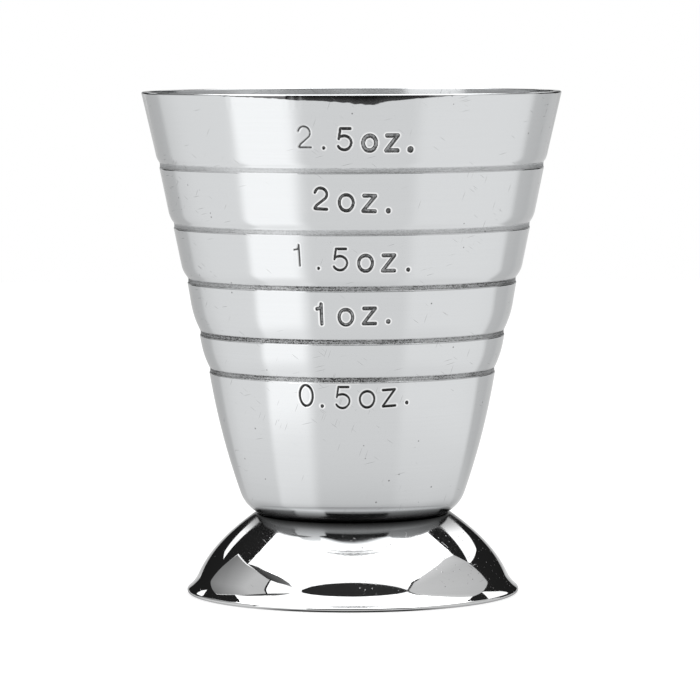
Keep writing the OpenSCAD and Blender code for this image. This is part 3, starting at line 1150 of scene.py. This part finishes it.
def standing_card(name, distance, glow, corners):
    """A card that stands round the object; a corner may have a brightness of its own."""
    deselect_all()
    bpy.ops.mesh.primitive_circle_add(vertices=len(corners), radius=1, fill_type="NGON")
    card = bpy.context.object
    card.name = name
    for corner, (turn, rise, *own_glow) in zip(card.data.vertices, corners):
        corner.co = aim(turn, rise, distance)
    show_in_steel(card, [own_glow[0] if own_glow else glow for turn, rise, *own_glow in corners])


# Cards that stand round the object, seen only in its polish: distance in metres, brightness,
# and corners as degrees to the right of the front, degrees up and, where it differs, brightness
STANDING_CARDS = {
    "front_low": (0.95, 0.66, ((-32, -3), (43, -3), (43, 9), (-32, 9))),
    "front_dark": (1.0, 0.03, ((-32, 8), (43, 8), (43, 30), (46, 38), (40, 43), (30, 47.5), (15, 51),
                               (2, 52.5), (-10, 51.8), (-25, 49.4), (-37.5, 44.5), (-43.5, 39), (-41, 33),
                               (-32, 27))),
    "left_white": (1.1, 1.6, ((-77, -3), (-32, -3), (-32, 26), (-43, 38), (-46, 50), (-78, 50))),
    "left_edge": (0.88, 0.03, ((-71.5, -3), (-69.5, -3), (-73, 31), (-77, 41), (-79, 41), (-75, 31))),
    "left_grey": (0.95, 0.6, ((-134, -3, 0.32), (-92, -3), (-71, -3), (-75, 31, 0.65), (-79, 40.4, 0.68),
                             (-94, 40.6, 0.67), (-105, 39.4, 0.57), (-114, 37, 0.42), (-132.5, 30.6, 0.24))),
    "left_arc": (0.9, 0.035, ((-114, 37.5, 0.05), (-105, 39.6, 0.05), (-94, 40.6, 0.05), (-80, 40.4),
                             (-70, 40.6), (-60, 41, 0.2), (-53, 40, 0.6), (-59, 43.4, 0.2), (-70, 45.6),
                             (-80, 45.8), (-93, 44, 0.05), (-102, 42.4, 0.05), (-110, 39.6, 0.05))),
    "left_black": (1.15, 0.018, ((-169, 5), (-160, 3.5), (-148, -3), (-133, -3), (-133, 31), (-114, 37.5),
                                (-121, 44.4), (-130, 47.5), (-139, 48.5), (-152, 49), (-162, 44), (-168, 24))),
    "left_strip": (0.85, 1.6, ((-153, 27), (-140, 21), (-147.5, 18.7), (-162, 18), (-160, 23))),
    "left_rear_low": (1.3, 0.95, ((-200, -4), (-160, -4), (-160, 5, 0.5), (-200, 5, 0.5))),
    "left_rear_high": (1.3, 0.5, ((-200, 5), (-160, 5), (-160, 14, 0.1), (-200, 14, 0.1))),
    "right_grey": (1.0, 0.62, ((43, -3, 0.75), (122, -3), (121, 17), (123, 32), (121, 40, 0.66),
                               (110, 45, 0.8), (95, 47.3, 0.9), (64, 47, 0.82), (56, 45, 0.75),
                               (46, 38, 0.72))),
    "right_edge": (0.88, 0.05, ((45, 37), (47, 37), (57, 44.3), (65, 46), (64, 47), (55, 45.5))),
    "right_black": (1.1, 0.018, ((121, -3), (123, 32), (121, 40), (126, 45), (133, 48.5), (152, 49),
                                 (162, 44), (168, 24), (167, 6), (160, 3.5), (148, -3))),
    "right_strip": (0.85, 1.6, ((123, 31.8), (146, 36), (155, 33), (160.5, 18), (154, 19), (145, 22),
                                (124, 30.3))),
    "right_rear": (1.3, 0.9, ((146, -4), (200, -4), (200, 14, 0.25), (146, 14, 0.25))),
}

# Light that falls on parts of the table: start and end in degrees to the right of the front,
# softness of each end in degrees, and change of brightness
TABLE_LIGHTS = (
    (-68, -31, 6, 12, 0.49),
    (37, 115, 10, 4, 0.12),
    (-118, -68, 30, 6, 0.08),
    (118, 141, 4, 10, -0.2),
    (141, 210, 10, 4, -0.1),
    (-210, -130, 4, 6, -0.22),
)


# The foot's shade on the table: radius of the lip and reach of the shade in millimetres, its darkness
# in front, what is added beside the foot, and width and lightest share of the dark line where they touch
LIP_REACH = 22.2
SHADE_REACH = 9
SHADE_IN_FRONT = 0.33
SHADE_ADDED_BESIDE = 0.25
CONTACT_START = 22.15
CONTACT_W = 0.7
CONTACT_LEAST = 0.25

# The table's ring round the foot: inner and outer radius in millimetres, faces around and across,
# how much its rows crowd towards the foot, and its lift over the floor
TABLE_NEAR = 21.9
TABLE_FAR = FLOOR_RADIUS / MM - 10
TABLE_TURNS = 144
TABLE_ROWS = 60
TABLE_CROWDING = 3
TABLE_LIFT = 0.02 * MM


def ease(value, start, width):
    """0 up to a start, 1 beyond a width from there, and a soft change between."""
    return smooth_step((value - start) / width)


def table_glow(turn, reach):
    """Brightness of the table in a direction and at a distance in millimetres, darker towards the foot."""
    lit = 0
    for start, end, soft_start, soft_end, change in TABLE_LIGHTS:
        rise = smooth_step((turn - start) / soft_start + 0.5)
        fall = smooth_step((end - turn) / soft_end + 0.5)
        lit += change * rise * fall
    spread = 0.5 + 0.5 * ease(reach, start=45, width=35)
    beside = ease(abs(turn), start=60, width=50)
    darkest = SHADE_IN_FRONT + SHADE_ADDED_BESIDE * beside
    shade = 1 - darkest * math.exp(-(reach - LIP_REACH) / SHADE_REACH)
    in_front = 1 - ease(abs(turn), start=18, width=18)
    touching = 1 - ease(reach, CONTACT_START, CONTACT_W)
    contact = (CONTACT_LEAST + (1 - CONTACT_LEAST) * in_front) * touching
    return (1 + lit * spread) * shade * (1 - contact)


def lit_table():
    """The table as the steel mirrors it: a ring round the foot, lit more from some sides."""
    deselect_all()
    bpy.ops.mesh.primitive_grid_add(x_subdivisions=TABLE_TURNS, y_subdivisions=TABLE_ROWS, size=2)
    table = bpy.context.object
    table.name = "lit_table"
    glows = []
    for corner in table.data.vertices:
        turn = corner.co.x * 180
        reach = TABLE_NEAR + (TABLE_FAR - TABLE_NEAR) * ((corner.co.y + 1) / 2) ** TABLE_CROWDING
        corner.co = aim(turn, 0, reach * MM) + Vector((0, 0, TABLE_LIFT))
        glows.append(table_glow(turn, reach))
    show_in_steel(table, glows)


def white_surround(studio):
    """A white wall above the cards, all the way round."""
    low, high, radius = 1.0, 3.4, 1.8
    deselect_all()
    bpy.ops.mesh.primitive_cylinder_add(vertices=64, radius=radius, depth=high - low, end_fill_type="NOTHING",
                                        location=(0, 0, (low + high) / 2))
    wall = bpy.context.object
    wall.name = "white_surround"
    show_in_steel(wall, [studio.surround_glow] * len(wall.data.vertices))


# Width and depth of the softbox, and its place off the axis, as shares of its height
SOFTBOX_WIDTH = 1.9
SOFTBOX_DEPTH = 1.44
SOFTBOX_PLACE = (-0.03, 0.02, 1)


def overhead_softbox(studio):
    """A large soft lamp above the object, a little wider than it is deep."""
    height = studio.softbox_h
    light = bpy.data.lights.new("softbox", "AREA")
    light.shape = "RECTANGLE"
    light.size = SOFTBOX_WIDTH * height
    light.size_y = SOFTBOX_DEPTH * height
    light.energy = studio.softbox_glow * math.pi * light.size * light.size_y
    lamp = bpy.data.objects.new("softbox", light)
    lamp.location = height * Vector(SOFTBOX_PLACE)
    lamp.visible_camera = False
    bpy.context.scene.collection.objects.link(lamp)


SENSOR_WIDTH = 36


def photo_camera(studio):
    """A camera at the photograph's place and angle, for a square picture."""
    camera = bpy.data.cameras.new("camera")
    camera.lens = studio.camera_lens
    camera.sensor_width = SENSOR_WIDTH
    camera.clip_start = 10 * MM
    stand = bpy.data.objects.new("camera", camera)
    stand.location = (studio.camera_side, -studio.camera_distance, studio.camera_height)
    stand.rotation_euler = (math.pi / 2 - studio.camera_pitch, studio.camera_roll, 0)
    bpy.context.scene.collection.objects.link(stand)
    bpy.context.scene.camera = stand


# Operators

class MEASURE_OT_stage(bpy.types.Operator):
    """Sets up the camera, the pale table, the soft light and the cards that show in the polish"""
    bl_idname = "measure.stage"
    bl_label = "Set up the studio"

    def execute(self, context):
        studio = context.scene.measure_studio
        context.scene.view_settings.view_transform = "Standard"
        photo_camera(studio)
        white_room(studio)
        pale_floor(studio)
        overhead_softbox(studio)
        white_surround(studio)
        lit_table()
        for name, card in STANDING_CARDS.items():
            standing_card(name, *card)
        return {"FINISHED"}


class MEASURE_OT_cup(bpy.types.Operator):
    """Turns the stepped cup, rolls its grooves and stamps its measure marks"""
    bl_idname = "measure.cup"
    bl_label = "Model the measuring cup"

    def execute(self, context):
        shared_groups()
        wall = CupOutline(context.scene.measure_cup)
        cup = turn_on_lathe("measuring_cup", wall.points(), wall.sizes.segments)
        grind_rim(cup, wall)
        store_masks(cup, wall, *stamp_marks(cup, wall))
        give_finish(cup, satin_steel(context.scene.measure_finish))
        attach(cup, "root")
        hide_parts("cup")
        return {"FINISHED"}


class MEASURE_OT_foot(bpy.types.Operator):
    """Turns the bell-shaped foot from its sheet"""
    bl_idname = "measure.foot"
    bl_label = "Model the foot"

    def execute(self, context):
        shared_groups()
        sizes = context.scene.measure_foot
        foot = turn_on_lathe("bell_foot", foot_outline(sizes, context.scene.measure_cup), sizes.segments)
        give_finish(foot, mirror_steel(context.scene.measure_finish))
        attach(foot, "root")
        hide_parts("foot")
        return {"FINISHED"}


class MEASURE_OT_welds(bpy.types.Operator):
    """Gives the spot welds between the cup and the foot their finish"""
    bl_idname = "measure.welds"
    bl_label = "Finish the spot welds"

    def execute(self, context):
        shared_groups()
        give_finish(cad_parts["spot_welds"], weld_metal(context.scene.measure_finish))
        return {"FINISHED"}


class MEASURE_PT_sidebar(bpy.types.Panel):
    """Lists the steps that build the measuring cup"""
    bl_label = "Bar measure"
    bl_idname = "MEASURE_PT_sidebar"
    bl_space_type = "VIEW_3D"
    bl_region_type = "UI"
    bl_category = "Bar measure"

    def draw(self, context):
        for operator in OPERATORS:
            self.layout.operator(operator.bl_idname)


OPERATORS = (MEASURE_OT_stage, MEASURE_OT_cup, MEASURE_OT_foot, MEASURE_OT_welds)
SETTINGS = {
    "measure_cup": CupSizes,
    "measure_foot": FootSizes,
    "measure_finish": SteelFinish,
    "measure_studio": StudioSetup,
}


def register():
    for group in (*SETTINGS.values(), *OPERATORS, MEASURE_PT_sidebar):
        bpy.utils.register_class(group)
    for name, group in SETTINGS.items():
        setattr(bpy.types.Scene, name, PointerProperty(type=group))


def unregister():
    for name in SETTINGS:
        delattr(bpy.types.Scene, name)
    for group in (MEASURE_PT_sidebar, *reversed(OPERATORS), *reversed(SETTINGS.values())):
        bpy.utils.unregister_class(group)


def main():
    register()
    bpy.ops.measure.stage()
    bpy.ops.measure.cup()
    bpy.ops.measure.foot()
    bpy.ops.measure.welds()


if __name__ == "__main__":
    main()
